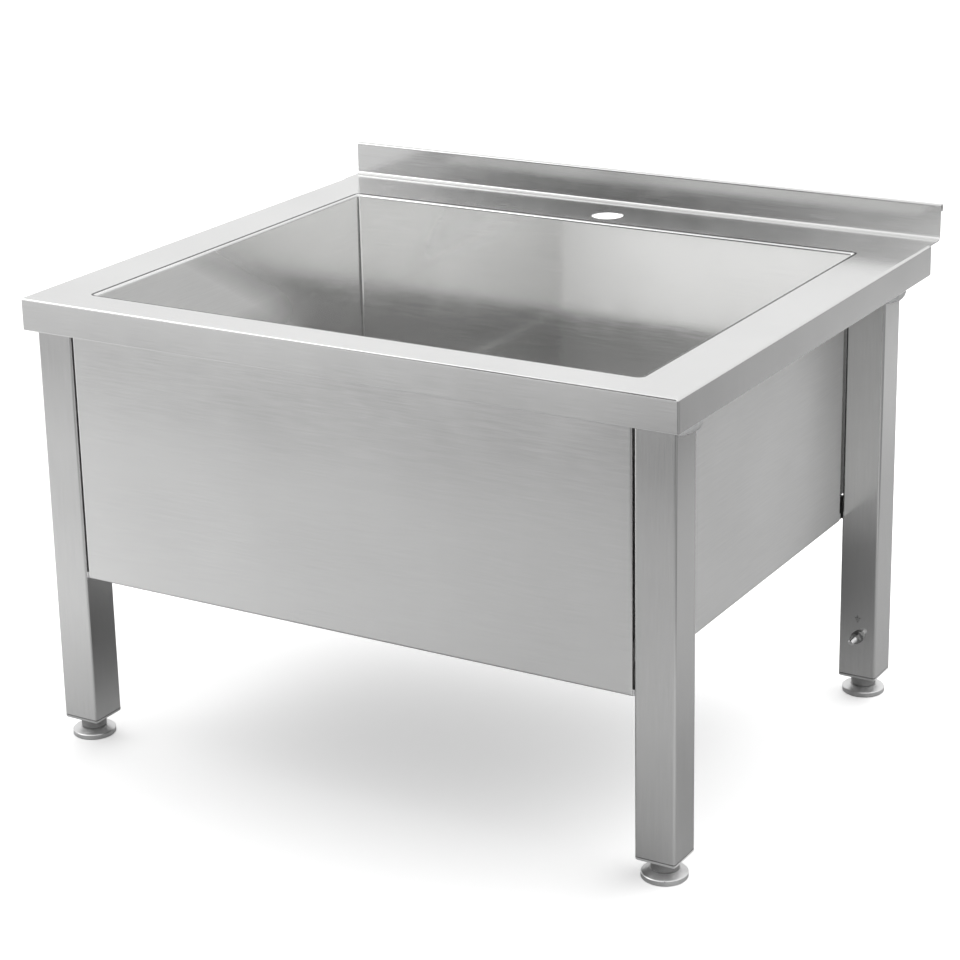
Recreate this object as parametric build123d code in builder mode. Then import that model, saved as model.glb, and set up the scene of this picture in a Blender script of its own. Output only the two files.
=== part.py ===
"""Floor-standing stainless steel utility sink with one deep bowl.

Frame: +X to the right, +Y to the wall, +Z up. The origin is on the floor, under the centre
of the worktop. Everything is in millimetres.
"""
import os

from build123d import *

os.makedirs("parts", exist_ok=True)

# ---------------------------------------------------------------- driving dimensions
width = 700.0              # over the side skirts
depth = 600.0              # front skirt to the back of the upstand
deck_height = 460.0        # floor to worktop, feet screwed right in
upstand_height = 36.0      # above the worktop
upstand_return = 6.0       # top of the upstand, front to back
skirt_height = 32.0
skirt_return = 8.0         # safety edge folded in under the skirt
skirt_gap = 29.0           # the side skirts stop this far before the back
sheet = 1.2                # worktop and bowl sheet
bend = 2.5                 # outside radius of the folds
skirt_edge = 1.0           # outside radius where the safety edge starts
cove = 4.0                 # radius where the worktop turns up into the upstand
lip = 8.0                  # fold down behind the upstand

bowl_width = 586.0
bowl_length = 464.0
bowl_depth = 250.0
bowl_front = 42.0          # from the front skirt to the bowl's edge
bowl_corner = 3.0          # inside radius of the upright corners
floor_corner = 2.8         # inside radius between wall and floor
rim_radius = 3.0           # rolled edge between the bowl and the worktop
rim_width = 4.5            # the bowl's rim, butt welded into the opening and ground flush
crease_inset = 12.0        # from the walls to where the floor starts to fall
floor_fall = 6.0           # fall of the creased floor to the waste
floor_flat = 110.0         # square flat round the waste
dish_radius = 40.0         # pressed dish that takes the waste flange
dish_depth = 3.3
waste_hole_slack = 1.0     # radial room for the waste's thread

tap_hole_radius = 17.0
tap_hole_setback = 32.5    # behind the bowl's rear edge

leg = 40.0                 # square tube
leg_wall = 1.5
leg_corner = 2.5
leg_side_inset = 8.0       # from the side skirt's face
leg_front_inset = 12.0
rear_leg_front = 471.0     # from the front skirt to the rear leg's front face
top_plate = 42.0
top_plate_thickness = 3.0

panel_sheet = 1.0
front_panel_gap = 2.0      # open gap between the front panel and a leg
front_panel_bottom = 177.0  # above the floor
front_panel_return = 15.0
side_panel_gap = 4.0
side_panel_bottom = 190.0
side_panel_return = 5.5    # stays clear of the bowl
tab_length = 8.0           # welded tabs that bridge the gaps
tab_height = 24.0
tab_depth = 5.5            # inboard of the legs' inner faces
tab_step = 2.5             # a side tab's outer end is set back this far from the gap
lower_tab = 12.0           # middle of a tab above a panel's bottom edge
upper_tab = 45.0           # and below the worktop

foot_gap = 20.0            # floor to the leg's end plug
plug_flange = 3.5
plug_joint = 0.5           # chamfer that draws the joint under the tube
plug_edge = 1.0            # chamfer round the bottom
plug_shank = 22.0
plug_slack = 0.2           # over the width of the tube's bore
stem_radius = 6.0          # M12 spindle
stem_length = 45.0
spigot_radius = 5.0        # plain end that turns in the pad
spigot_depth = 4.5
collar_radius = 12.5
pad_radius = 21.5
pad_rim = 5.5              # height of the pad's edge
pad_height = 8.5           # under the collar
foot_edge = 0.7            # chamfer on the pad and the collar
running = 0.05             # radial clearance of a turning fit

waste_flange_radius = 36.0
waste_thread_radius = 23.9  # G 1 1/2
waste_bore_radius = 20.0
waste_length = 50.0
relief_width = 1.0         # groove that ends a free length of thread
relief_depth = 0.6
waste_flange_thickness = 1.8
throat_depth = 12.0        # tapered seat under the flange
throat_flare = 1.5
strainer_depth = 20.0      # under the flange
strainer_bar = 2.2
strainer_height = 3.0
strainer_hub = 4.0
seal = 1.5
washer_thickness = 3.0
backnut_height = 10.0
backnut_radius = 34.0      # across the corners
nut_clearance = 0.1

stopper_rim = 5.0          # wider than the bore
stopper_thickness = 4.0    # above the waste flange
stopper_depth = 11.0       # into the throat
stopper_taper = 1.2
knob_radius = 9.0
knob_waist = 4.0
knob_foot = 6.0
knob_pin = 3.0
knob_pin_length = 7.8
knob_height = 15.0
knob_cap = 6.0             # tapered top

stud_radius = 3.0          # M6
stud_length = 18.0
stud_height = 66.0         # above the floor
stud_washers = ((6.5, 1.2), (5.5, 1.0))  # radius and thickness of each
stud_nut_flat = 5.0        # half the width over the flats
stud_nut_height = 5.0

# ---------------------------------------------------------------- places worked out from them
front = -depth / 2
back = depth / 2
upstand_face = back - upstand_return
skirt_end = back - skirt_gap
skirt_bottom = deck_height - skirt_height
underside = deck_height - sheet
bowl_y = front + bowl_front + bowl_length / 2
bowl_floor = deck_height - bowl_depth
flat_level = bowl_floor - floor_fall
dish_level = flat_level - dish_depth
tap_y = front + bowl_front + bowl_length + tap_hole_setback

leg_x = width / 2 - leg_side_inset - leg / 2
front_leg_y = front + leg_front_inset + leg / 2
rear_leg_y = front + rear_leg_front + leg / 2
corners = {
    "front_left": (-leg_x, front_leg_y),
    "front_right": (leg_x, front_leg_y),
    "rear_left": (-leg_x, rear_leg_y),
    "rear_right": (leg_x, rear_leg_y),
}
leg_bottom = foot_gap + plug_flange
leg_top = underside - top_plate_thickness
inner_x = leg_x - leg / 2

waste_y = bowl_y
flange_top = dish_level + seal + waste_flange_thickness
dish_underside = dish_level - sheet


def save(builder, name):
    """Label a finished piece and write it under its own name."""
    builder.part.label = name
    export_step(builder.part, f"parts/{name}.step")


def bowl_outline(skin):
    """The bowl's plan, grown outwards by skin, for a sketch that is already placed."""
    RectangleRounded(bowl_width + 2 * skin, bowl_length + 2 * skin, bowl_corner + skin)


# ---------------------------------------------------------------- worktop
# One folded sheet: front and side skirts with a safety edge, coved upstand with a top return.
with BuildPart() as worktop:
    tray_length = skirt_end - front
    tray_middle = (front + skirt_end) / 2
    with BuildSketch(Plane.XY.offset(skirt_bottom)):
        with Locations((0, tray_middle)):
            Rectangle(width, tray_length)
    extrude(amount=skirt_height)
    fillet(worktop.edges().filter_by(Axis.Z).group_by(Axis.Y)[0], radius=bend)
    top_edges = worktop.faces().sort_by(Axis.Z)[-1].edges()
    fillet(top_edges.sort_by(Axis.Y)[:-1], radius=bend)
    openings = [worktop.faces().sort_by(Axis.Z)[0], worktop.faces().sort_by(Axis.Y)[-1]]
    offset(amount=-sheet, openings=openings)
    # safety edge under the skirts
    with BuildSketch(Plane.XY.offset(skirt_bottom)) as safety_edge:
        with Locations((0, tray_middle)):
            Rectangle(width, tray_length)
        fillet(safety_edge.vertices().group_by(Axis.Y)[0], radius=bend)
        with Locations((0, tray_middle + skirt_return / 2)):
            Rectangle(width - 2 * skirt_return, tray_length - skirt_return, mode=Mode.SUBTRACT)
    extrude(amount=sheet)
    edge_faces = worktop.faces().filter_by(Axis.Z).sort_by(Axis.Z)[0]
    outline = [
        edge for edge in edge_faces.edges()
        if abs(edge.center().X) > width / 2 - bend or edge.center().Y < front + bend
    ]
    fillet(outline, radius=skirt_edge)
    # strip behind the skirts, cove, upstand, top return and rear lip in one profile
    with BuildSketch(Plane.YZ):
        with BuildLine():
            FilletPolyline(
                (skirt_end - 2 * bend, deck_height),
                (upstand_face, deck_height),
                (upstand_face, deck_height + upstand_height / 2),
                radius=cove,
            )
            FilletPolyline(
                (upstand_face, deck_height + upstand_height / 2),
                (upstand_face, deck_height + upstand_height),
                (back, deck_height + upstand_height),
                (back, deck_height + upstand_height - lip),
                radius=bend,
            )
            offset(amount=sheet, side=Side.RIGHT)
        make_face()
    extrude(amount=width / 2, both=True)
    # the opening that the bowl hangs in, and the tap hole
    with BuildSketch(Plane.XY.offset(underside)):
        with Locations((0, bowl_y)):
            bowl_outline(rim_width)
        with Locations((0, tap_y)):
            Circle(tap_hole_radius)
    extrude(amount=sheet, mode=Mode.SUBTRACT)
save(worktop, "worktop")


# ---------------------------------------------------------------- bowl
def bowl_form(skin, top):
    """The bowl's cavity up to a level, grown outwards by skin: walls, creased floor and dish."""
    with BuildPart() as form:
        floor_plane = Plane.XY.offset(bowl_floor - skin)
        with BuildSketch(floor_plane):
            with Locations((0, bowl_y)):
                bowl_outline(skin)
        extrude(amount=top - bowl_floor + skin)
        fillet(form.faces().sort_by(Axis.Z)[0].edges(), radius=floor_corner + skin)
        with BuildSketch(floor_plane):
            with Locations((0, bowl_y)):
                Rectangle(bowl_width - 2 * crease_inset, bowl_length - 2 * crease_inset)
        with BuildSketch(Plane.XY.offset(flat_level - skin)):
            with Locations((0, waste_y)):
                Rectangle(floor_flat, floor_flat)
        loft(ruled=True)
        with BuildSketch(Plane.XY.offset(dish_level - skin)):
            with Locations((0, waste_y)):
                Circle(dish_radius + skin)
        extrude(amount=dish_depth + floor_fall / 2)
    return form.part


# The rim rolls over into the worktop's opening, so its outer and inner bends share a centre.
with BuildPart() as bowl:
    add(bowl_form(sheet, underside))
    with BuildSketch(Plane.XY.offset(underside)):
        with Locations((0, bowl_y)):
            bowl_outline(rim_width)
    extrude(amount=sheet)
    rim_underside = bowl.faces().filter_by(Axis.Z).sort_by(Axis.Z)[-2]
    fillet(rim_underside.inner_wires()[0].edges(), radius=rim_radius - sheet)
    add(bowl_form(0, deck_height), mode=Mode.SUBTRACT)
    rim_top = bowl.faces().filter_by(Axis.Z).sort_by(Axis.Z)[-1]
    fillet(rim_top.inner_wires()[0].edges(), radius=rim_radius)
    with Locations((0, waste_y, dish_level)):
        Cylinder(waste_thread_radius + waste_hole_slack, 4 * sheet, mode=Mode.SUBTRACT)
save(bowl, "bowl")


# ---------------------------------------------------------------- legs and their end plugs
for corner, (x, y) in corners.items():
    with BuildPart() as leg_tube:
        with BuildSketch(Plane.XY.offset(leg_bottom)):
            with Locations((x, y)):
                RectangleRounded(leg, leg, leg_corner)
                RectangleRounded(leg - 2 * leg_wall, leg - 2 * leg_wall, leg_corner - leg_wall,
                                 mode=Mode.SUBTRACT)
        extrude(amount=leg_top - leg_bottom)
    save(leg_tube, f"leg_{corner}")

    with BuildPart() as end_plug:
        with BuildSketch(Plane.XY.offset(foot_gap)):
            with Locations((x, y)):
                RectangleRounded(leg, leg, leg_corner)
        extrude(amount=plug_flange)
        flange_faces = end_plug.faces().sort_by(Axis.Z)
        chamfer(flange_faces[0].edges(), length=plug_edge)
        chamfer(flange_faces[-1].edges(), length=plug_joint)
        with BuildSketch(Plane.XY.offset(leg_bottom)):
            with Locations((x, y)):
                inside = leg - 2 * leg_wall - plug_slack
                RectangleRounded(inside, inside, leg_corner - leg_wall)
        extrude(amount=plug_shank)
        with BuildSketch(Plane.XY.offset(foot_gap)):
            with Locations((x, y)):
                Circle(stem_radius + running)
        extrude(amount=plug_flange + plug_shank, mode=Mode.SUBTRACT)
    save(end_plug, f"end_plug_{corner}")

with BuildPart() as leg_top_plates:
    with BuildSketch(Plane.XY.offset(leg_top)):
        with Locations(*corners.values()):
            Rectangle(top_plate, top_plate)
    extrude(amount=top_plate_thickness)
save(leg_top_plates, "leg_top_plates")


# ---------------------------------------------------------------- apron panels
def folded_pan(length, height, returns, at):
    """A pan of thin sheet standing in the XZ plane, its face to -Y, open at its back."""
    with BuildPart() as pan:
        with BuildSketch(Plane.XZ):
            Rectangle(length, height)
        extrude(amount=-returns)
        face = pan.faces().sort_by(Axis.Y)[0]
        fillet(face.edges(), radius=bend)
        offset(amount=-panel_sheet, openings=pan.faces().sort_by(Axis.Y)[-1])
    return at * pan.part


front_panel_length = 2 * (inner_x - front_panel_gap)
front_panel_height = underside - front_panel_bottom
side_panel_height = underside - side_panel_bottom
side_panel_front = front_leg_y + leg / 2 + side_panel_gap
side_panel_back = rear_leg_y - leg / 2 - side_panel_gap
side_panel_y = (side_panel_front + side_panel_back) / 2

with BuildPart() as front_panel:
    place = Location((0, front + leg_front_inset, front_panel_bottom + front_panel_height / 2))
    add(folded_pan(front_panel_length, front_panel_height, front_panel_return, place))
save(front_panel, "front_panel")

for side, hand in (("left", -1), ("right", 1)):
    with BuildPart() as side_panel:
        place = Location(
            (hand * inner_x, side_panel_y, side_panel_bottom + side_panel_height / 2),
            (0, 0, hand * 90),
        )
        side_panel_length = side_panel_back - side_panel_front
        add(folded_pan(side_panel_length, side_panel_height, side_panel_return, place))
    save(side_panel, f"side_panel_{side}")

def side_tab(hand, y, away):
    """Outline of a stepped tab from a side panel's end wall at y to a leg's inner face."""
    reach = side_panel_gap + tab_length
    steps = (
        (tab_depth, 0), (tab_step, 0), (tab_step, reach - tab_step), (0, reach - tab_step),
        (0, reach), (tab_depth, reach), (tab_depth, 0),
    )
    return [(hand * (inner_x - inboard), y + away * along) for inboard, along in steps]


with BuildPart() as panel_tabs:
    for hand in (-1, 1):
        for z in (front_panel_bottom + lower_tab, underside - upper_tab):
            middle = front + leg_front_inset + front_panel_return - tab_length / 2
            with Locations((hand * (inner_x - front_panel_gap / 2), middle, z)):
                Box(front_panel_gap, tab_length, tab_height)
        for z in (side_panel_bottom + lower_tab, underside - upper_tab):
            for y, away in ((side_panel_front, -1), (side_panel_back, 1)):
                with BuildSketch(Plane.XY.offset(z - tab_height / 2)):
                    with BuildLine():
                        Polyline(*side_tab(hand, y, away))
                    make_face()
                extrude(amount=tab_height)
save(panel_tabs, "panel_tabs")


# ---------------------------------------------------------------- adjustable feet
# The spindle turns in the end plug's thread and in the pad, which stays still on the floor.
spigot_end = pad_height - spigot_depth
stem_top = foot_gap + stem_length

for corner, (x, y) in corners.items():
    foot_plane = Plane(origin=(x, y, 0), x_dir=(1, 0, 0), z_dir=(0, -1, 0))

    with BuildPart() as foot_pad:
        with BuildSketch(foot_plane):
            with BuildLine():
                Polyline(
                    (0, 0), (pad_radius - foot_edge, 0), (pad_radius, foot_edge),
                    (pad_radius, pad_rim - foot_edge), (pad_radius - foot_edge, pad_rim),
                    (collar_radius + 2 * foot_edge, pad_height), (0, pad_height), (0, 0),
                )
            make_face()
        revolve(axis=Axis((x, y, 0), (0, 0, 1)))
        with BuildSketch(Plane.XY.offset(pad_height)):
            with Locations((x, y)):
                Circle(spigot_radius + running)
        extrude(amount=-(spigot_depth + 0.3), mode=Mode.SUBTRACT)
    save(foot_pad, f"foot_pad_{corner}")

    with BuildPart() as foot_stem:
        with BuildSketch(foot_plane):
            with BuildLine():
                Polyline(
                    (0, spigot_end), (spigot_radius, spigot_end), (spigot_radius, pad_height),
                    (collar_radius - foot_edge, pad_height),
                    (collar_radius, pad_height + foot_edge), (collar_radius, foot_gap - foot_edge),
                    (collar_radius - foot_edge, foot_gap), (stem_radius, foot_gap),
                    (stem_radius, stem_top - foot_edge), (stem_radius - foot_edge, stem_top),
                    (0, stem_top), (0, spigot_end),
                )
            make_face()
        revolve(axis=Axis((x, y, 0), (0, 0, 1)))
    save(foot_stem, f"foot_stem_{corner}")


# ---------------------------------------------------------------- waste
waste_plane = Plane(origin=(0, waste_y, 0), x_dir=(1, 0, 0), z_dir=(0, -1, 0))
waste_axis = Axis((0, waste_y, 0), (0, 0, 1))
waste_bottom = flange_top - waste_length
washer_bottom = dish_underside - washer_thickness
backnut_bottom = washer_bottom - backnut_height

with BuildPart() as waste_body:
    with BuildSketch(waste_plane):
        with BuildLine():
            Polyline(
                (waste_bore_radius + throat_flare, flange_top), (waste_flange_radius - 1, flange_top),
                (waste_flange_radius, flange_top - 1), (waste_flange_radius, dish_level + seal),
                (waste_thread_radius, dish_level + seal), (waste_thread_radius, backnut_bottom),
                (waste_thread_radius - relief_depth, backnut_bottom),
                (waste_thread_radius - relief_depth, backnut_bottom - relief_width),
                (waste_thread_radius, backnut_bottom - relief_width),
                (waste_thread_radius, waste_bottom),
                (waste_bore_radius, waste_bottom), (waste_bore_radius, flange_top - throat_depth),
                (waste_bore_radius + throat_flare, flange_top),
            )
        make_face()
    revolve(axis=waste_axis)
    # strainer cross with a hub, low in the throat
    with BuildSketch(Plane.XY.offset(flange_top - strainer_depth)):
        with Locations((0, waste_y)):
            Circle(strainer_hub)
            for angle in range(0, 180, 45):
                Rectangle(2 * waste_bore_radius + strainer_bar, strainer_bar, rotation=angle)
    extrude(amount=strainer_height)
save(waste_body, "waste_body")


def ring(name, inner, outer, bottom, height):
    """A flat ring round the waste."""
    with BuildPart() as washer:
        with BuildSketch(Plane.XY.offset(bottom)):
            with Locations((0, waste_y)):
                Circle(outer)
                Circle(inner, mode=Mode.SUBTRACT)
        extrude(amount=height)
    save(washer, name)


nut_bore = waste_thread_radius + nut_clearance
ring("waste_seal", nut_bore, waste_flange_radius - 1, dish_level, seal)
ring("waste_washer", nut_bore, backnut_radius, washer_bottom, washer_thickness)

with BuildPart() as waste_backnut:
    with BuildSketch(Plane.XY.offset(backnut_bottom)):
        with Locations((0, waste_y)):
            RegularPolygon(backnut_radius, 8)
            Circle(nut_bore, mode=Mode.SUBTRACT)
    extrude(amount=backnut_height)
    chamfer(waste_backnut.faces().sort_by(Axis.Z)[0].edges().filter_by(GeomType.LINE), length=1)
save(waste_backnut, "waste_backnut")

# rubber stopper that lifts out, resting on the waste flange, and the knob pressed into it
stopper_top = flange_top + stopper_thickness
rim = waste_bore_radius + stopper_rim
with BuildPart() as drain_plug:
    with BuildSketch(waste_plane):
        with BuildLine():
            Polyline(
                (0, flange_top - stopper_depth),
                (waste_bore_radius - stopper_taper, flange_top - stopper_depth),
                (waste_bore_radius + throat_flare - stopper_taper / 2, flange_top),
                (rim, flange_top), (rim, flange_top + stopper_thickness / 2),
                (rim - stopper_thickness, stopper_top), (0, stopper_top),
                (0, flange_top - stopper_depth),
            )
        make_face()
    revolve(axis=waste_axis)
    with Locations((0, waste_y, stopper_top)):
        Hole(knob_pin, depth=knob_pin_length)
save(drain_plug, "drain_plug")

with BuildPart() as plug_knob:
    pin_end = stopper_top - knob_pin_length
    knob_top = stopper_top + knob_height
    with BuildSketch(waste_plane):
        with BuildLine():
            Polyline(
                (0, pin_end), (knob_pin, pin_end), (knob_pin, stopper_top),
                (knob_foot, stopper_top), (knob_waist, stopper_top + 3),
                (knob_waist, knob_top - knob_cap - 2), (knob_radius, knob_top - knob_cap),
                (knob_radius, knob_top - knob_cap / 2), (knob_waist, knob_top),
                (0, knob_top), (0, pin_end),
            )
        make_face()
    revolve(axis=waste_axis)
save(plug_knob, "plug_knob")


# ---------------------------------------------------------------- earthing stud, rear right leg
stud_plane = Plane(origin=(leg_x, rear_leg_y - leg / 2, stud_height), x_dir=(1, 0, 0),
                   z_dir=(0, -1, 0))
washer_stack = sum(thickness for outer, thickness in stud_washers)
nut_front = washer_stack + stud_nut_height
with BuildPart() as earth_stud:
    with BuildSketch(stud_plane):
        Circle(stud_radius)
    extrude(amount=stud_length)
    chamfer(earth_stud.faces().sort_by(Axis.Y)[0].edges(), length=stud_radius / 4)
    with BuildSketch(stud_plane.offset(nut_front)):
        Circle(stud_radius)
        Circle(stud_radius - relief_depth, mode=Mode.SUBTRACT)
    extrude(amount=relief_width, mode=Mode.SUBTRACT)
save(earth_stud, "earth_stud")

with BuildPart() as earth_washers:
    seat = 0
    for outer, thickness in stud_washers:
        with BuildSketch(stud_plane.offset(seat)):
            Circle(outer)
            Circle(stud_radius + running, mode=Mode.SUBTRACT)
        extrude(amount=thickness)
        seat += thickness
save(earth_washers, "earth_washers")

with BuildPart() as earth_nut:
    with BuildSketch(stud_plane.offset(washer_stack)):
        RegularPolygon(stud_nut_flat, 6, major_radius=False)
        Circle(stud_radius + running, mode=Mode.SUBTRACT)
    extrude(amount=stud_nut_height)
save(earth_nut, "earth_nut")
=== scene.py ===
"""Finishes, small fittings and studio of a floor-standing stainless steel utility sink."""
import math
import random

import bmesh
import bpy
from mathutils import Matrix, Vector


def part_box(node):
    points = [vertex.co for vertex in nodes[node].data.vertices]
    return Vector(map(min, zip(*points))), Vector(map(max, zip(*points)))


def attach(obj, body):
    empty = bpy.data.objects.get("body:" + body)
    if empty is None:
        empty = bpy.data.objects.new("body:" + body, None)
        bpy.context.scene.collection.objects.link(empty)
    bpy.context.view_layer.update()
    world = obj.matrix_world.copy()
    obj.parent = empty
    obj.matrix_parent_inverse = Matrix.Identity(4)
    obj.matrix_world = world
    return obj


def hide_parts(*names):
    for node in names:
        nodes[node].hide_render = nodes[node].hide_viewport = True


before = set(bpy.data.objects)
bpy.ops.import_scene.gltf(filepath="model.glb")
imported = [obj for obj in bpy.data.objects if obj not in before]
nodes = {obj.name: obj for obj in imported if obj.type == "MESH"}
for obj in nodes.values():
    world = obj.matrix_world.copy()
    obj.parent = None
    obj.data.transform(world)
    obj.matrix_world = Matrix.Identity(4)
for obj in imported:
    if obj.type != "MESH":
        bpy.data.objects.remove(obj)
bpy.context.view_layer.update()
MM = 0.001

# ---------------------------------------------------------------- places taken from the frame
CORNERS = ("front_left", "front_right", "rear_left", "rear_right")
worktop_low, worktop_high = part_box("worktop")
skirt_bottom = worktop_low.z
upstand_top = worktop_high.z
plug_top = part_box("leg_front_right")[0].z


def centre(name):
    """The middle of a node's box."""
    low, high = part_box(name)
    return (low + high) / 2


# ---------------------------------------------------------------- shader helpers
def new_material(name):
    """A material with an empty principled shader, and its tree."""
    material = bpy.data.materials.new(name)
    material.use_nodes = True
    tree = material.node_tree
    tree.nodes.clear()
    output = tree.nodes.new("ShaderNodeOutputMaterial")
    shader = tree.nodes.new("ShaderNodeBsdfPrincipled")
    tree.links.new(shader.outputs["BSDF"], output.inputs["Surface"])
    return material, tree, shader


def place_of(tree, scale):
    """Object coordinates stretched by scale, in cycles a metre."""
    coordinates = tree.nodes.new("ShaderNodeTexCoord")
    mapping = tree.nodes.new("ShaderNodeMapping")
    mapping.inputs["Scale"].default_value = scale
    tree.links.new(coordinates.outputs["Object"], mapping.inputs["Vector"])
    return mapping.outputs["Vector"]


def noise_of(tree, vector, scale, detail=3.0, roughness=0.55):
    """A noise field, scale in cycles a metre unless vector is stretched already."""
    noise = tree.nodes.new("ShaderNodeTexNoise")
    noise.inputs["Scale"].default_value = scale
    noise.inputs["Detail"].default_value = detail
    noise.inputs["Roughness"].default_value = roughness
    tree.links.new(vector, noise.inputs["Vector"])
    return noise.outputs["Fac"]


def spread(tree, value, low, high, start=0.3, end=0.7):
    """value from start..end mapped to low..high."""
    node = tree.nodes.new("ShaderNodeMapRange")
    node.inputs["From Min"].default_value = start
    node.inputs["From Max"].default_value = end
    node.inputs["To Min"].default_value = low
    node.inputs["To Max"].default_value = high
    tree.links.new(value, node.inputs["Value"])
    return node.outputs["Result"]


def combine(tree, operation, a, b):
    """Two values, fields or numbers, joined by a math operation."""
    node = tree.nodes.new("ShaderNodeMath")
    node.operation = operation
    for socket, value in zip(node.inputs, (a, b)):
        if isinstance(value, (int, float)):
            socket.default_value = value
        else:
            tree.links.new(value, socket)
    return node.outputs["Value"]


def apart(tree, value, place):
    """How far value lies from place, either way."""
    return combine(tree, "ABSOLUTE", combine(tree, "SUBTRACT", value, place), 0)


def grey_of(tree, value, tint):
    """value as a grey, warmed or cooled by tint."""
    node = tree.nodes.new("ShaderNodeCombineColor")
    for socket, share in zip(("Red", "Green", "Blue"), tint):
        tree.links.new(combine(tree, "MULTIPLY", value, share), node.inputs[socket])
    return node.outputs["Color"]


def bump_of(tree, shader, height, strength, distance):
    """Fine relief from a height field."""
    node = tree.nodes.new("ShaderNodeBump")
    node.inputs["Strength"].default_value = strength
    node.inputs["Distance"].default_value = distance
    tree.links.new(height, node.inputs["Height"])
    tree.links.new(node.outputs["Normal"], shader.inputs["Normal"])


GRAIN_CROSS, GRAIN_RUN = 1400.0, 22.0     # polishing lines, in cycles a metre


def grain_field(tree, along):
    """Fine polishing lines along an axis: 0, 1 or 2 for X, Y or Z."""
    scale = [GRAIN_CROSS] * 3
    scale[along] = GRAIN_RUN
    return noise_of(tree, place_of(tree, scale), 1.0, detail=2.0)


def position(tree, axis):
    """Where a point lies along an axis, in metres."""
    split = tree.nodes.new("ShaderNodeSeparateXYZ")
    tree.links.new(place_of(tree, (1, 1, 1)), split.inputs["Vector"])
    return split.outputs["XYZ"[axis]]


def height_of(tree):
    """Height above the floor, in metres."""
    return position(tree, 2)


def outlook(tree, axis):
    """How far a face looks along an axis, -1 to 1."""
    geometry = tree.nodes.new("ShaderNodeNewGeometry")
    split = tree.nodes.new("ShaderNodeSeparateXYZ")
    tree.links.new(geometry.outputs["Normal"], split.inputs["Vector"])
    return split.outputs["XYZ"[axis]]


def outer_side(tree, middle):
    """1 on faces that look away from a point, 0 on those that look at it."""
    away = tree.nodes.new("ShaderNodeVectorMath")
    away.operation = "SUBTRACT"
    away.inputs[1].default_value = middle
    tree.links.new(place_of(tree, (1, 1, 1)), away.inputs[0])
    along = tree.nodes.new("ShaderNodeVectorMath")
    along.operation = "DOT_PRODUCT"
    tree.links.new(away.outputs["Vector"], along.inputs[0])
    geometry = tree.nodes.new("ShaderNodeNewGeometry")
    tree.links.new(geometry.outputs["Normal"], along.inputs[1])
    return spread(tree, along.outputs["Value"], 0, 1, 0, 10 * MM)


def facing(tree, axis, sharp=6.0):
    """1 on faces that look along an axis, either way, and 0 on the others."""
    return combine(tree, "POWER", combine(tree, "ABSOLUTE", outlook(tree, axis), 0), sharp)


def blend_of(tree, share, a, b):
    """a where share is 0, b where it is 1."""
    node = tree.nodes.new("ShaderNodeMix")
    node.data_type = "FLOAT"
    tree.links.new(share, node.inputs["Factor"])
    for name, value in (("A", a), ("B", b)):
        if isinstance(value, (int, float)):
            node.inputs[name].default_value = value
        else:
            tree.links.new(value, node.inputs[name])
    return node.outputs["Result"]


STEEL_TINT = (1.0, 1.0, 0.995)
BRUSHED = 0.45                                  # how far the lines draw highlights out
CLOUD_SIZE, WIPE_SIZE = 9.0, 38.0               # broad clouding and wiping marks, in cycles a metre
CLOUD_TONE, GRAIN_TONE = 0.018, 0.028           # what they add to the tone, either way
CLOUD_ROUGH, WIPE_ROUGH = 0.02, (-0.012, 0.014)  # and to the roughness
GRAIN_ROUGH = (-0.02, 0.03)
GRAIN_DEPTH = 0.05 * MM


def brushed_across(tree, shader, along, turned):
    """Highlights drawn out across the grain, as fine polishing lines do."""
    shares = [1.0, 1.0, 1.0]
    shares[along] = 0.0
    node = tree.nodes.new("ShaderNodeCombineXYZ")
    for axis, share in enumerate(shares):
        node.inputs[axis].default_value = share
    if turned is not None:
        side = facing(tree, 0)
        other = 3 - turned
        tree.links.new(combine(tree, "SUBTRACT", 1.0, side), node.inputs[turned])
        node.inputs[other].default_value = 1.0
    tree.links.new(node.outputs["Vector"], shader.inputs["Tangent"])
    shader.inputs["Anisotropic"].default_value = BRUSHED


def satin_steel(name, along, tone=0.80, rough=0.16, turned=None, relief=0.01, gleam=0.95, side_rough=None,
                painted_light=None):
    """Ground sheet steel: straight grain along an axis, or along another on faces that look along X.

    side_rough is the roughness of the faces that look along X. The last argument, if given, is a function
    that paints light and shade into the tone by place, from the tree, the shader, the tone's field and the
    gleam.
    """
    material, tree, shader = new_material(name)
    brushed_across(tree, shader, along, turned)
    grain = grain_field(tree, along)
    if turned is not None:
        grain = blend_of(tree, facing(tree, 0), grain, grain_field(tree, turned))
    cloud = noise_of(tree, place_of(tree, (1, 1, 1)), CLOUD_SIZE, detail=4.0)
    wiped = noise_of(tree, place_of(tree, (1, 1, 1)), WIPE_SIZE, detail=5.0, roughness=0.6)
    level = combine(tree, "ADD", spread(tree, grain, -GRAIN_TONE, GRAIN_TONE),
                    spread(tree, cloud, tone - CLOUD_TONE, tone + CLOUD_TONE))
    shader.inputs["Metallic"].default_value = gleam
    # painted light and shade, changed into the tone by place
    if painted_light is not None:
        level = painted_light(tree, shader, level, gleam)
    tree.links.new(grey_of(tree, level, STEEL_TINT), shader.inputs["Base Color"])
    haze = combine(tree, "ADD", spread(tree, wiped, *WIPE_ROUGH),
                   spread(tree, cloud, -CLOUD_ROUGH, CLOUD_ROUGH))
    gloss = combine(tree, "ADD", haze, spread(tree, grain, *(rough + step for step in GRAIN_ROUGH)))
    if side_rough is not None:
        gloss = combine(tree, "ADD", gloss, spread(tree, facing(tree, 0), 0, side_rough - rough, 0, 1))
    tree.links.new(gloss, shader.inputs["Roughness"])
    bump_of(tree, shader, grain, relief, GRAIN_DEPTH)
    return material


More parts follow.
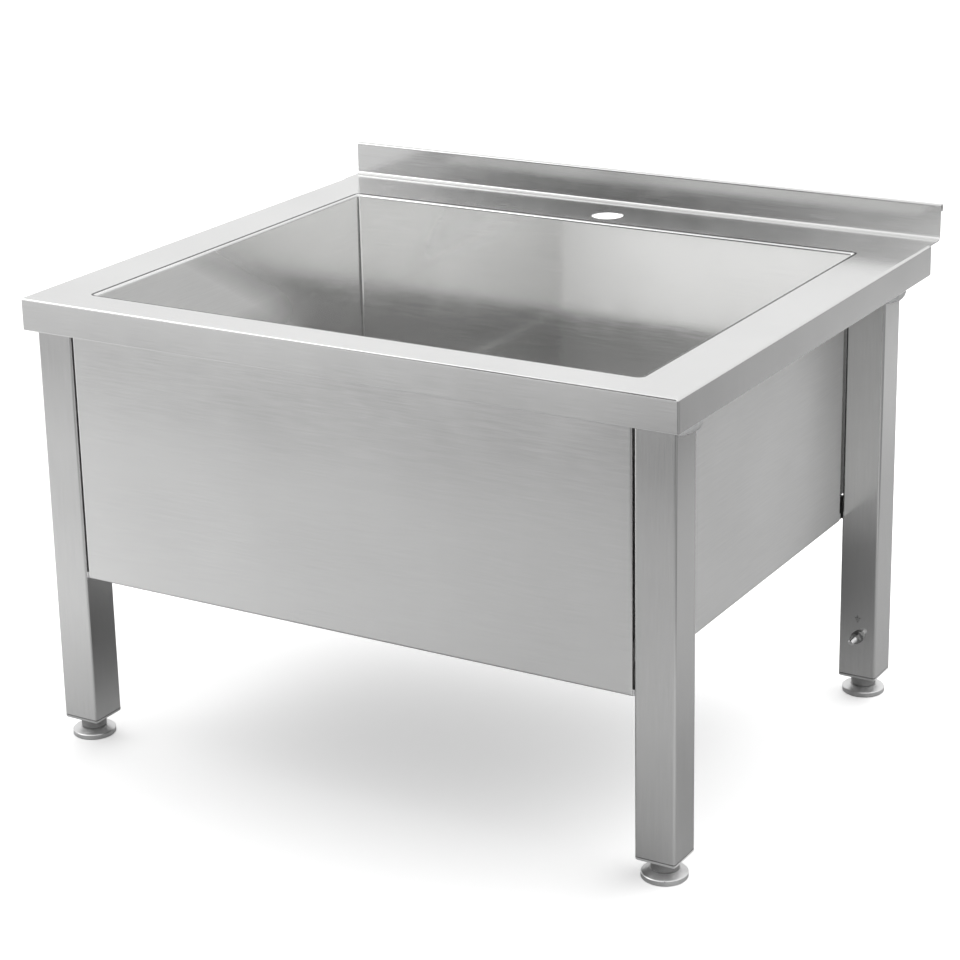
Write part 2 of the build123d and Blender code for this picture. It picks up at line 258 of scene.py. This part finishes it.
# How far a face has to look to the side, to the rear or up to count as such
LOOKS_ASIDE, LOOKS_BACK, LOOKS_UP = (0.5, 0.9), (0.3, 0.8), (0.3, 0.95)
FLOOR_BELOW = (0.34, 0.38)  # the bowl's floor lies under these heights
FLOOR_SHARE = 0.50          # of the tone, on the bowl's floor: painted shade
FLOOR_EDGE = 0.3            # gleam of the floor at a flat angle, dimmed as painted shade
OUTER_SHARE = 0.12          # of the tone, outside the bowl, in the shade of the aprons
REAR_SHARE = 0.65           # of the tone, outside the bowl, to the rear: lighter painted shade
LEFT_SHARE = 0.86           # of the tone, on the left wall: painted shade
FRONT_GLEAM = 0.05          # the front wall is ground matt
RIM_SHARE = 0.5             # of the tone: painted shade on the front wall under the rim
RIM_SHADE = (0.32, 0.38)    # heights between which that tone sets in
MATT_EDGE = (0.63, 0.71)    # where the left wall's matt front ends, along MATT_SLOPE
MATT_SLOPE = 1.64           # metres to the rear for each metre down
MATT_SHARE = 0.8            # how matt it is, next to the front wall
MATT_HEIGHTS = (0.335, 0.385)
LEFT_HALF = (-0.1, 0.0)


def bowl_painted_shade(tree, shader, level, gleam):
    """Painted shade on the bowl: darker on the floor, outside, on the left wall and under the front rim;
    matt in front.
    """
    x, y, height = (position(tree, axis) for axis in range(3))
    x_look, y_look, z_look = (outlook(tree, axis) for axis in range(3))
    deep = spread(tree, height, 1, 0, *FLOOR_BELOW)
    on_floor = combine(tree, "MULTIPLY", deep, spread(tree, z_look, 0, 1, *LOOKS_UP))
    outside = blend_of(tree, outer_side(tree, centre("bowl")), 1.0,
                       spread(tree, y_look, OUTER_SHARE, REAR_SHARE, *LOOKS_BACK))
    # painted shade: darker on the bowl's floor and on its outer faces
    level = combine(tree, "MULTIPLY", level,
                    combine(tree, "MINIMUM", spread(tree, on_floor, 1, FLOOR_SHARE, 0, 1), outside))
    # painted shade: the floor's reflection dimmed at a flat angle
    edge_tint = spread(tree, on_floor, 1, FLOOR_EDGE, 0, 1)
    tree.links.new(grey_of(tree, edge_tint, (1, 1, 1)), shader.inputs["Specular Tint"])

    left_wall = combine(tree, "MULTIPLY", spread(tree, x_look, 0, 1, *LOOKS_ASIDE),
                        spread(tree, x, 1, 0, *LEFT_HALF))
    # painted shade on the left wall
    level = combine(tree, "MULTIPLY", level, spread(tree, left_wall, 1, LEFT_SHARE, 0, 1))
    slant = combine(tree, "ADD", y, combine(tree, "MULTIPLY", height, MATT_SLOPE))
    matt_front = combine(tree, "MULTIPLY", left_wall, spread(tree, slant, 1, 0, *MATT_EDGE))
    matt_front = combine(tree, "MULTIPLY", matt_front, spread(tree, height, 0, MATT_SHARE, *MATT_HEIGHTS))

    front_wall = spread(tree, y_look, 0, 1, *LOOKS_BACK)
    under_rim = spread(tree, height, 1, RIM_SHARE, *RIM_SHADE)
    # painted shade on the front wall under the rim
    level = combine(tree, "MULTIPLY", level, blend_of(tree, front_wall, 1.0, under_rim))
    matt = combine(tree, "MAXIMUM", front_wall, matt_front)
    tree.links.new(spread(tree, matt, gleam, FRONT_GLEAM, 0, 1), shader.inputs["Metallic"])
    return level


LOOKS_FRONT = (-0.9, -0.5)
UPSTAND_FOOT = 0.456         # the cove's lower end, just under the worktop's top
UPSTAND_SHARES = (1.2, 0.9)  # of the tone, at the upstand's foot and top: painted light at the foot, painted shade at the top
UPSTAND_SIDE = (-0.05, 0.2)  # they set in to the right, between these places


def upstand_painted_light(tree, shader, level, gleam):
    """Painted light on the upstand's face: lighter at its foot to the right."""
    height = height_of(tree)
    standing = combine(tree, "MULTIPLY", spread(tree, outlook(tree, 1), 1, 0, *LOOKS_FRONT),
                       spread(tree, height, 0, 1, UPSTAND_FOOT, UPSTAND_FOOT + 2 * MM))
    standing = combine(tree, "MULTIPLY", standing, spread(tree, position(tree, 0), 0, 1, *UPSTAND_SIDE))
    # painted light: lighter at the foot, darker towards the top
    share = spread(tree, height, *UPSTAND_SHARES, UPSTAND_FOOT, upstand_top)
    return combine(tree, "MULTIPLY", level, blend_of(tree, standing, 1.0, share))


WHITE = (1.0, 1.0, 1.0)
TOOTH_SIZE, PATCH_SIZE = 900.0, 120.0     # of turned or cast metal, in cycles a metre
METAL_TONE = 0.03                         # what each adds to the tone, either way
METAL_ROUGH = (-0.04, 0.06)               # what the patches add to the roughness
TOOTH_DEPTH = 0.1 * MM


def smooth_metal(name, tone, rough, relief=0.08):
    """Turned or cast metal with a fine tooth and uneven gloss."""
    material, tree, shader = new_material(name)
    fine = noise_of(tree, place_of(tree, (1, 1, 1)), TOOTH_SIZE, detail=3.0)
    broad = noise_of(tree, place_of(tree, (1, 1, 1)), PATCH_SIZE, detail=4.0)
    level = combine(tree, "ADD", spread(tree, fine, -METAL_TONE, METAL_TONE),
                    spread(tree, broad, tone - METAL_TONE, tone + METAL_TONE))
    tree.links.new(grey_of(tree, level, WHITE), shader.inputs["Base Color"])
    tree.links.new(spread(tree, broad, *(rough + step for step in METAL_ROUGH)),
                   shader.inputs["Roughness"])
    shader.inputs["Metallic"].default_value = 1.0
    bump_of(tree, shader, fine, relief, TOOTH_DEPTH)
    return material


MOULD_SIZE, MOULD_CLOUD = 1500.0, 60.0    # in cycles a metre
MOULD_GRAIN = 0.04                        # what the grain adds to the tone, as a share of it
MOULD_CLOUD_SHARES = (0.95, 1.05)         # of the tone
MOULD_ROUGH = (-0.05, 0.06)               # what the clouds add to the roughness
MOULD_DEPTH = 0.1 * MM
JOINT_SHARE = 0.06                        # of the tone: painted shade in the joint
JOINT_HALF = (0.6 * MM, 0.9 * MM)         # where the joint starts and ends to fade


def moulded(name, tone, rough, relief=0.12, joint=None):
    """Plastic or rubber with the fine texture of its mould, and painted shade in the joint at a height."""
    material, tree, shader = new_material(name)
    fine = noise_of(tree, place_of(tree, (1, 1, 1)), MOULD_SIZE, detail=3.0)
    cloud = noise_of(tree, place_of(tree, (1, 1, 1)), MOULD_CLOUD, detail=4.0)
    level = combine(tree, "ADD", spread(tree, fine, -MOULD_GRAIN * tone, MOULD_GRAIN * tone),
                    spread(tree, cloud, *(share * tone for share in MOULD_CLOUD_SHARES)))
    # painted shade in the joint at that height
    if joint is not None:
        beside = apart(tree, height_of(tree), joint)
        level = combine(tree, "MULTIPLY", level, spread(tree, beside, JOINT_SHARE, 1, *JOINT_HALF))
    tree.links.new(grey_of(tree, level, WHITE), shader.inputs["Base Color"])
    tree.links.new(spread(tree, cloud, *(rough + step for step in MOULD_ROUGH)),
                   shader.inputs["Roughness"])
    bump_of(tree, shader, fine, relief, MOULD_DEPTH)
    return material


WELD_SPECKLE, WELD_PATCH = 700.0, 160.0   # in cycles a metre
WELD_WARM, WELD_COOL = (0.93, 0.92, 0.90, 1), (0.86, 0.87, 0.90, 1)
WELD_ROUGH = (0.25, 0.45)
WELD_GLEAM = 0.3
WELD_RELIEF, WELD_DEPTH = 0.25, 0.2 * MM


def weld_metal(name):
    """Weld bead, brushed bright, with a trace of warm and cool heat colour."""
    material, tree, shader = new_material(name)
    fine = noise_of(tree, place_of(tree, (1, 1, 1)), WELD_SPECKLE, detail=4.0)
    patch = noise_of(tree, place_of(tree, (1, 1, 1)), WELD_PATCH, detail=3.0)
    ramp = tree.nodes.new("ShaderNodeValToRGB")
    ramp.color_ramp.elements[0].color = WELD_WARM
    ramp.color_ramp.elements[1].color = WELD_COOL
    tree.links.new(patch, ramp.inputs["Fac"])
    tree.links.new(ramp.outputs["Color"], shader.inputs["Base Color"])
    tree.links.new(spread(tree, fine, *WELD_ROUGH), shader.inputs["Roughness"])
    shader.inputs["Metallic"].default_value = WELD_GLEAM
    bump_of(tree, shader, fine, WELD_RELIEF, WELD_DEPTH)
    return material


# ---------------------------------------------------------------- finishes
sheet_top = satin_steel("sheet_worktop", along=0, turned=2, painted_light=upstand_painted_light)
sheet_bowl = satin_steel("sheet_bowl", along=0, turned=1, tone=0.9, rough=0.09, relief=0.005,
                         painted_light=bowl_painted_shade)
sheet_panel = satin_steel("sheet_panel", along=0, turned=1, side_rough=0.36)
# painted shade: the panel tabs are the panels' steel, made dark where they sit in shade
shaded_tab_steel = satin_steel("sheet_painted_shade", along=0, turned=1, tone=0.16, rough=0.4)
tube_steel = satin_steel("tube_leg", along=2, tone=0.71)
foot_metal = smooth_metal("foot_metal", 0.80, 0.36)
spindle_steel = smooth_metal("spindle_steel", 0.34, 0.34)
plated_steel = smooth_metal("plated_steel", 0.36, 0.3)
bright_steel = smooth_metal("bright_steel", 0.84, 0.12, relief=0.03)
grey_plastic = moulded("grey_plastic", 0.74, 0.42, joint=plug_top)
black_rubber = moulded("black_rubber", 0.035, 0.62, relief=0.25)
weld_steel = weld_metal("weld_steel")

FINISHES = {
    "worktop": sheet_top, "bowl": sheet_bowl, "front_panel": sheet_panel,
    "side_panel_left": sheet_panel, "side_panel_right": sheet_panel, "panel_tabs": shaded_tab_steel,
    "leg_top_plates": sheet_panel, "waste_body": bright_steel, "waste_backnut": grey_plastic,
    "waste_seal": black_rubber, "waste_washer": black_rubber, "drain_plug": black_rubber,
    "plug_knob": bright_steel, "earth_stud": bright_steel, "earth_washers": plated_steel,
    "earth_nut": plated_steel,
}
for corner in CORNERS:
    FINISHES[f"leg_{corner}"] = tube_steel
    FINISHES[f"end_plug_{corner}"] = grey_plastic
    FINISHES[f"foot_pad_{corner}"] = foot_metal
    FINISHES[f"foot_stem_{corner}"] = spindle_steel

for name, material in FINISHES.items():
    nodes[name].data.materials.clear()
    nodes[name].data.materials.append(material)


# ---------------------------------------------------------------- mesh helpers
def mesh_piece(name, form, material, body="frame", smooth=True):
    """A bmesh as a piece that rides on a body."""
    mesh = bpy.data.meshes.new(name)
    bmesh.ops.recalc_face_normals(form, faces=form.faces)
    form.to_mesh(mesh)
    form.free()
    if smooth:
        mesh.shade_smooth()
    mesh.materials.append(material)
    piece = bpy.data.objects.new(name, mesh)
    bpy.context.scene.collection.objects.link(piece)
    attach(piece, body)
    return piece


def bridge(form, rings):
    """Quads between rings of equal count, closed at both ends."""
    for one, two in zip(rings, rings[1:]):
        count = len(one)
        for i in range(count):
            form.faces.new((one[i], one[(i + 1) % count], two[(i + 1) % count], two[i]))
    form.faces.new(rings[0])
    form.faces.new(rings[-1])


LEVELS_A_TURN = 8     # rings on one turn of a thread
FLANK_SLOPE = 1.25    # over 1, which leaves the crests flat


def turned_rod(origin, out, stations, threads, around=40):
    """A turned rod along out: stations are (radius, height), threads are (start, end, root, pitch)."""
    side = out.orthogonal().normalized()
    other = out.cross(side)
    levels = []
    for (radius_a, height_a), (radius_b, height_b) in zip(stations, stations[1:]):
        levels.append((radius_a, height_a))
        for start, end, root, pitch in threads:
            if height_a < end and height_b > start and radius_a == radius_b:
                count = max(int((height_b - height_a) / (pitch / LEVELS_A_TURN)), 1)
                levels += [(radius_a, height_a + (height_b - height_a) * i / count)
                           for i in range(1, count)]
    levels.append(stations[-1])
    form = bmesh.new()
    rings = []
    for radius, height in levels:
        ring = []
        for i in range(around):
            turn = i / around
            reach = radius
            for start, end, root, pitch in threads:
                if start < height < end and radius > root:
                    phase = (height / pitch - turn) % 1
                    flank = min(abs(2 * phase - 1) * FLANK_SLOPE, 1)
                    fade = min((height - start) / pitch, (end - height) / pitch, 1)
                    reach = radius - (radius - root) * (1 - flank) * max(fade, 0)
            angle = 2 * math.pi * turn
            ring.append(form.verts.new(origin + out * height + reach * (math.cos(angle) * side
                                                                        + math.sin(angle) * other)))
        rings.append(ring)
    bridge(form, rings)
    return form


def sharpen(piece, angle=40):
    """Smooth shading that breaks at corners."""
    with bpy.context.temp_override(active_object=piece, object=piece, selected_objects=[piece],
                                   selected_editable_objects=[piece]):
        bpy.ops.object.shade_smooth_by_angle(angle=math.radians(angle))


# ---------------------------------------------------------------- threaded spindles of the feet
THREAD_PITCH = 1.75 * MM      # M12
SPINDLE_ROOT = 5.1 * MM
SPINDLE_RADIUS = 6.0 * MM
SPIGOT_RADIUS = 5.0 * MM
SPINDLE_EDGE = 0.7 * MM
for corner in CORNERS:
    low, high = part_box(f"foot_stem_{corner}")
    middle = (low + high) / 2
    collar = (high.x - low.x) / 2
    spigot, spindle, edge = SPIGOT_RADIUS, SPINDLE_RADIUS, SPINDLE_EDGE
    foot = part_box(f"foot_pad_{corner}")[1].z
    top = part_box(f"end_plug_{corner}")[0].z
    stations = [
        (spigot - edge, low.z), (spigot, low.z + edge), (spigot, foot), (collar - edge, foot),
        (collar, foot + edge), (collar, top - edge), (collar - edge, top), (spindle, top),
        (spindle, high.z - edge), (spindle - edge, high.z),
    ]
    form = turned_rod(Vector((middle.x, middle.y, 0)), Vector((0, 0, 1)), stations,
                      [(top, high.z, SPINDLE_ROOT, THREAD_PITCH)])
    spindle_piece = mesh_piece(f"spindle_{corner}", form, spindle_steel,
                               f"spindle_{corner}")
    sharpen(spindle_piece)
    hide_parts(f"foot_stem_{corner}")

# ---------------------------------------------------------------- threads of the earth stud and the waste
STUD_PITCH = 1.0 * MM         # M6
STUD_ROOT = 2.45 * MM
low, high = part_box("earth_stud")
stud_foot = Vector(((low.x + high.x) / 2, high.y, (low.z + high.z) / 2))
stud_radius = (high.z - low.z) / 2
stud_length = high.y - low.y
tip = stud_radius / 4
form = turned_rod(stud_foot, Vector((0, -1, 0)),
                  [(stud_radius, 0), (stud_radius, stud_length - tip), (stud_radius - tip, stud_length)],
                  [(0, stud_length, STUD_ROOT, STUD_PITCH)], around=32)
stud_piece = mesh_piece("earth_stud_threaded", form, bright_steel)
sharpen(stud_piece)
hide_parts("earth_stud")

WASTE_PITCH = 2.309 * MM      # G 1 1/2
WASTE_RADIUS = 23.9 * MM
WASTE_RIDGE = 0.45 * MM
RIDGE_STEPS = 48              # on one turn
RIDGE_ROOT = -0.2 * MM        # the ridge's foot lies this deep in the cylinder
RIDGE_FADE = 12               # the run-out is one part in this many of the length
RIDGE_FOOT, RIDGE_CREST = 0.3, 0.08     # half widths, as shares of the pitch
THREAD_INSET = (1.0 * MM, 2.0 * MM)     # from the body's lower end, and under the back nut
nut_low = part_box("waste_backnut")[0]
waste_low, waste_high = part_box("waste_body")
waste_middle = Vector(((waste_low.x + waste_high.x) / 2, (waste_low.y + waste_high.y) / 2, 0))


def thread_ridge(name, middle, radius, bottom, top, pitch, ridge, material):
    """A screw thread's crest that stands on a plain cylinder, running out at both ends."""
    turns = (top - bottom) / pitch
    steps = int(turns * RIDGE_STEPS)
    form = bmesh.new()
    rings = []
    for i in range(steps + 1):
        share = i / steps
        angle = 2 * math.pi * turns * share
        height = bottom + (top - bottom) * share
        rise = ridge * min(1, RIDGE_FADE * share, RIDGE_FADE * (1 - share))
        across = Vector((math.cos(angle), math.sin(angle), 0))
        ring = []
        for reach, lift in ((RIDGE_ROOT, -RIDGE_FOOT), (rise, -RIDGE_CREST), (rise, RIDGE_CREST),
                            (RIDGE_ROOT, RIDGE_FOOT)):
            ring.append(form.verts.new(middle + across * (radius + reach)
                                       + Vector((0, 0, height + lift * pitch))))
        rings.append(ring)
    bridge(form, rings)
    return mesh_piece(name, form, material, smooth=False)


thread_ridge("waste_thread", waste_middle, WASTE_RADIUS, waste_low.z + THREAD_INSET[0],
             nut_low.z - THREAD_INSET[1], WASTE_PITCH, WASTE_RIDGE, bright_steel)


# ---------------------------------------------------------------- welds
WELD_STEP = 0.4 * MM
WELD_WAVE = 0.10              # fall of each ripple, as a share of the size
WELD_UNEVEN = 0.03
WELD_END_POWER = 10           # the higher, the shorter the rounded ends
WELD_END_LEAST = 0.03         # the ends' size, squared


def bead(name, start, end, profile, grow=1.0, ripple=1.7 * MM):
    """A weld run along Y or Z with overlapping ripples and rounded ends.

    profile is the section's outline as (across, above) from the run's line; grow is the size at the
    start as a share of the size at the end.
    """
    run = end - start
    along = run.normalized()
    across = Vector((1, 0, 0))
    above = across.cross(along) if abs(along.z) < 0.5 else Vector((0, 1, 0))
    dice = random.Random(name)
    steps = max(int(run.length / WELD_STEP), 10)
    form = bmesh.new()
    rings = []
    for i in range(steps + 1):
        share = i / steps
        ends = math.sqrt(max(1 - (2 * share - 1) ** WELD_END_POWER, WELD_END_LEAST))
        wave = 1 - WELD_WAVE * ((share * run.length / ripple) % 1)
        size = ends * wave * (grow + (1 - grow) * share) * (1 + WELD_UNEVEN * dice.uniform(-1, 1))
        rings.append([form.verts.new(start + run * share + across * (a * size) + above * (b * size))
                      for a, b in profile])
    bridge(form, rings)
    return mesh_piece(name, form, weld_steel)


def rounded(half_across, half_above, count=14):
    """An oval section."""
    turns = [2 * math.pi * i / count for i in range(count)]
    return [(half_across * math.cos(turn), half_above * math.sin(turn)) for turn in turns]


# A fillet under the side skirts' safety edge, against the legs' outer faces.
FILLET_MM = ((-0.3, -11.0), (2.4, -11.2), (4.8, -9.2), (6.8, -6.4), (8.2, -3.0), (8.9, 0.4), (8.6, 1.9),
             (7.4, 1.4), (6.0, 0.6), (-0.3, 0.6))
FILLET_START, FILLET_STOP = 1.0 * MM, 0.5 * MM     # from the leg's front and rear faces
FILLET_NARROW = 0.6     # size at its start, as a share of the size at its end
for corner in CORNERS:
    low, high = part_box(f"leg_{corner}")
    hand = 1 if "right" in corner else -1
    outer = high.x if hand > 0 else low.x
    bead(f"leg_weld_{corner}", Vector((outer, low.y + FILLET_START, skirt_bottom)),
         Vector((outer, high.y - FILLET_STOP, skirt_bottom)),
         [(hand * across * MM, above * MM) for across, above in FILLET_MM], grow=FILLET_NARROW)

# Weld specks in the slits at the panels' lower corners: outward and rearward of the corner,
# the heights where they start and end over it, and half their width and depth.
FRONT_TACK_MM = (1.0, 1.6, 0.5, 6.5, 1.3, 1.2)
SIDE_TACK_MM = (-2.4, 2.0, 1.0, 8.0, 1.6, 2.0)


def tack(name, x, y, z, hand, sizes_mm):
    """A weld speck that stands by a panel's lower corner."""
    outward, rearward, start, end, half_across, half_above = (size * MM for size in sizes_mm)
    place = Vector((x + hand * outward, y + rearward, z))
    bead(name, place + Vector((0, 0, start)), place + Vector((0, 0, end)), rounded(half_across, half_above))


panel_low, panel_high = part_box("front_panel")
for hand, side in ((1, "right"), (-1, "left")):
    tack(f"panel_tack_{side}", panel_high.x if hand > 0 else panel_low.x, panel_low.y, panel_low.z,
         hand, FRONT_TACK_MM)
    side_low, side_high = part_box(f"side_panel_{side}")
    tack(f"side_tack_{side}", side_high.x if hand > 0 else side_low.x, side_high.y, side_low.z,
         hand, SIDE_TACK_MM)

# ---------------------------------------------------------------- earth sign cut in the rear right leg
engraved = moulded("engraved_sign", 0.10, 0.55)
leg_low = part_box("leg_rear_right")[0]
SIGN_ABOVE_STUD = 21 * MM
STROKE = 0.8
# Width, height and middle of each stroke: three bars and their stem
SIGN_STROKES_MM = ((6.2, STROKE, 0.0), (4.0, STROKE, -2.0), (1.8, STROKE, -4.0), (STROKE, 2.6, 1.6))
SIGN_THICK, SIGN_PROUD = 0.12 * MM, 0.02 * MM
form = bmesh.new()
for wide, tall, lift in SIGN_STROKES_MM:
    place = (stud_foot.x, leg_low.y - SIGN_PROUD, stud_foot.z + SIGN_ABOVE_STUD + lift * MM)
    size = (wide * MM, SIGN_THICK, tall * MM, 1)
    bmesh.ops.create_cube(form, size=1.0, matrix=Matrix.Translation(place) @ Matrix.Diagonal(size))
mesh_piece("earth_sign", form, engraved, smooth=False)

# ---------------------------------------------------------------- casting nub on the front right pad
pad_low, pad_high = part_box("foot_pad_front_right")
pad_middle = (pad_low + pad_high) / 2
reach = (pad_high.x - pad_low.x) / 2
NUB_BEARING = math.radians(-62)
NUB_SUNK = 0.6 * MM
NUB_LIFT = 5.0 * MM
NUB_LONG, NUB_THICK = 1.5 * MM, 1.1 * MM
NUB_TAPER = 0.25
nub_place = pad_middle + Vector((math.cos(NUB_BEARING), math.sin(NUB_BEARING), 0)) * (reach - NUB_SUNK)
form = bmesh.new()
bmesh.ops.create_uvsphere(form, u_segments=16, v_segments=10, radius=1.0)
for vert in form.verts:
    vert.co.x *= NUB_LONG
    vert.co.y *= NUB_THICK
    vert.co.z *= NUB_THICK * (1 - NUB_TAPER * vert.co.x / MM)
    vert.co += Vector((nub_place.x, nub_place.y, pad_low.z + NUB_LIFT))
mesh_piece("pad_nub", form, foot_metal, "pad_front_right")

# ---------------------------------------------------------------- studio
floor_mesh = bpy.data.meshes.new("studio_floor")
form = bmesh.new()
FLOOR_HALF = 7.0
bmesh.ops.create_grid(form, x_segments=8, y_segments=8, size=FLOOR_HALF)
form.to_mesh(floor_mesh)
form.free()
floor = bpy.data.objects.new("studio_floor", floor_mesh)
bpy.context.scene.collection.objects.link(floor)

FLOOR_TONE = 0.48     # painted light: as the metal sees it, to the left and the rear
FLOOR_DIM = 0.32      # as the metal sees it, elsewhere, in painted shade
FLOOR_PALE = 0.7      # as the camera sees it
FLOOR_LIFT = 0.42     # white that the camera sees on top
LIT_LEFT = (-1.1, 0.0)                # from the painted light at the left to the middle
LIT_BACK = (0.8, 1.5)                 # from the middle to the painted light at the rear
FAR_BAND, NEAR_BAND = -1.38, -0.48    # a painted shadow band across the floor, far in front, and a band of painted light nearer
FAR_BAND_SHARE, FAR_BAND_FADE = 0.58, (0.0, 0.38)
NEAR_BAND_SHARE, NEAR_BAND_FADE = 1.3, (0.1, 0.4)
# painted shade on the floor far to the right
RIGHT_SHARE, RIGHT_FADE = 0.55, (0.75, 0.95)


def floor_paint():
    """The floor: white to the camera; to the metal, greyer, with painted light and painted shadow in bands.
    """
    material = bpy.data.materials.new("studio_floor")
    material.use_nodes = True
    tree = material.node_tree
    tree.nodes.clear()
    output = tree.nodes.new("ShaderNodeOutputMaterial")
    paint = tree.nodes.new("ShaderNodeBsdfDiffuse")
    glow = tree.nodes.new("ShaderNodeEmission")
    to_camera = tree.nodes.new("ShaderNodeLightPath").outputs["Is Camera Ray"]
    across, back = position(tree, 0), position(tree, 1)
    # painted light and shade on the floor, as the metal sees it
    lit_left = spread(tree, across, 1, 0, *LIT_LEFT)
    lit_back = spread(tree, back, 0, 1, *LIT_BACK)
    lit = spread(tree, combine(tree, "MAXIMUM", lit_left, lit_back), FLOOR_DIM, FLOOR_TONE, 0, 1)
    far_band = spread(tree, apart(tree, back, FAR_BAND), FAR_BAND_SHARE, 1, *FAR_BAND_FADE)
    near_band = spread(tree, apart(tree, back, NEAR_BAND), NEAR_BAND_SHARE, 1, *NEAR_BAND_FADE)
    far_right = spread(tree, across, 1, RIGHT_SHARE, *RIGHT_FADE)
    lit = combine(tree, "MULTIPLY", lit, combine(tree, "MULTIPLY", far_band, far_right))
    lit = combine(tree, "MULTIPLY", lit, near_band)
    pale = combine(tree, "MAXIMUM", lit, combine(tree, "MULTIPLY", to_camera, FLOOR_PALE))
    tree.links.new(grey_of(tree, pale, WHITE), paint.inputs["Color"])
    tree.links.new(combine(tree, "MULTIPLY", to_camera, FLOOR_LIFT), glow.inputs["Strength"])
    both = tree.nodes.new("ShaderNodeAddShader")
    tree.links.new(paint.outputs["BSDF"], both.inputs[0])
    tree.links.new(glow.outputs["Emission"], both.inputs[1])
    tree.links.new(both.outputs["Shader"], output.inputs["Surface"])
    return material


floor.data.materials.append(floor_paint())

# The room as the metal mirrors it. Places are parts of a direction of length 1.
ROOM_FRONT = 0.85
ROOM_BACK, BACK_FADE = 0.88, (-0.5, 0.1)
ROOM_TOP, TOP_FADE = 0.98, (0.45, 0.75)
CARD, CARD_PLACE, CARD_FADE = 0.08, -0.44, (0.06, 0.12)    # a dark card in front, to the left
# The room as it lights matt surfaces, which is more from above and behind.
ROOM_WALLS, ROOM_LAMPS, LAMPS_FADE = 0.25, 1.45, (0.2, 0.7)
LAMPS_FRONT, LAMPS_BACK, LAMPS_TURN = 0.4, 2.6, (-0.4, 0.6)


def studio_room():
    """The room round the sink, as the metal, the matt surfaces and the camera each see it."""
    world = bpy.data.worlds.new("studio_room")
    bpy.context.scene.world = world
    world.use_nodes = True
    tree = world.node_tree
    tree.nodes.clear()
    output = tree.nodes.new("ShaderNodeOutputWorld")
    coordinates = tree.nodes.new("ShaderNodeTexCoord")
    split = tree.nodes.new("ShaderNodeSeparateXYZ")
    tree.links.new(coordinates.outputs["Generated"], split.inputs["Vector"])
    front_wall = spread(tree, apart(tree, split.outputs["X"], CARD_PLACE), CARD, ROOM_FRONT,
                        *CARD_FADE)
    back_wall = blend_of(tree, spread(tree, split.outputs["Y"], 0, 1, *BACK_FADE), front_wall,
                         ROOM_BACK)
    ceiling = spread(tree, split.outputs["Z"], 0, 1, *TOP_FADE)
    mirrored = blend_of(tree, ceiling, back_wall, ROOM_TOP)
    room = tree.nodes.new("ShaderNodeBackground")
    overhead = spread(tree, split.outputs["Z"], ROOM_WALLS, ROOM_LAMPS, *LAMPS_FADE)
    overhead = combine(tree, "MULTIPLY", overhead,
                       spread(tree, split.outputs["Y"], LAMPS_FRONT, LAMPS_BACK, *LAMPS_TURN))
    path = tree.nodes.new("ShaderNodeLightPath")
    seen = blend_of(tree, path.outputs["Is Glossy Ray"], overhead, mirrored)
    tree.links.new(seen, room.inputs["Strength"])
    white = tree.nodes.new("ShaderNodeBackground")
    white.inputs["Color"].default_value = (1, 1, 1, 1)
    room.inputs["Color"].default_value = (1, 1, 1, 1)
    choice = tree.nodes.new("ShaderNodeMixShader")
    tree.links.new(path.outputs["Is Camera Ray"], choice.inputs["Fac"])
    tree.links.new(room.outputs["Background"], choice.inputs[1])
    tree.links.new(white.outputs["Background"], choice.inputs[2])
    tree.links.new(choice.outputs["Shader"], output.inputs["Surface"])


studio_room()


def softbox(name, place, target, size, power):
    """A soft lamp that looks at target."""
    lamp = bpy.data.lights.new(name, "AREA")
    lamp.shape = "RECTANGLE"
    lamp.size, lamp.size_y = size
    lamp.energy = power
    holder = bpy.data.objects.new(name, lamp)
    holder.location = place
    holder.rotation_euler = (Vector(target) - Vector(place)).to_track_quat("-Z", "Y").to_euler()
    bpy.context.scene.collection.objects.link(holder)


LAMP_PLACE, LAMP_TARGET = (-2.2, -1.6, 2.4), (0, 0, 0.2)
LAMP_SIZE, LAMP_WATTS = (1.6, 1.6), 12
softbox("lamp_left", LAMP_PLACE, LAMP_TARGET, LAMP_SIZE, LAMP_WATTS)

# ---------------------------------------------------------------- camera
# Fitted to the corners of the worktop, panels and legs in the photo
YAW, PITCH, ROLL = 0.5374, 0.3092, -0.0203
LENS_MM, SENSOR_MM = 97.94, 36.0
PHOTO_SIZE, PHOTO_SHIFT = 960, -80
CAMERA_PLACE = (1.2590, -2.1456, 1.1178)
ahead = Vector((-math.sin(YAW) * math.cos(PITCH), math.cos(YAW) * math.cos(PITCH), -math.sin(PITCH)))
right = Vector((math.cos(YAW), math.sin(YAW), 0))
up = right.cross(ahead)
rolled_right = math.cos(ROLL) * right + math.sin(ROLL) * up
rolled_up = -math.sin(ROLL) * right + math.cos(ROLL) * up
camera_data = bpy.data.cameras.new("camera")
camera_data.lens = LENS_MM
camera_data.sensor_width = SENSOR_MM
camera_data.shift_y = PHOTO_SHIFT / PHOTO_SIZE
camera = bpy.data.objects.new("camera", camera_data)
bpy.context.scene.collection.objects.link(camera)
turn = Matrix((rolled_right, rolled_up, -ahead)).transposed().to_4x4()
camera.matrix_world = Matrix.Translation(CAMERA_PLACE) @ turn
bpy.context.scene.camera = camera
bpy.context.scene.view_settings.view_transform = "Standard"
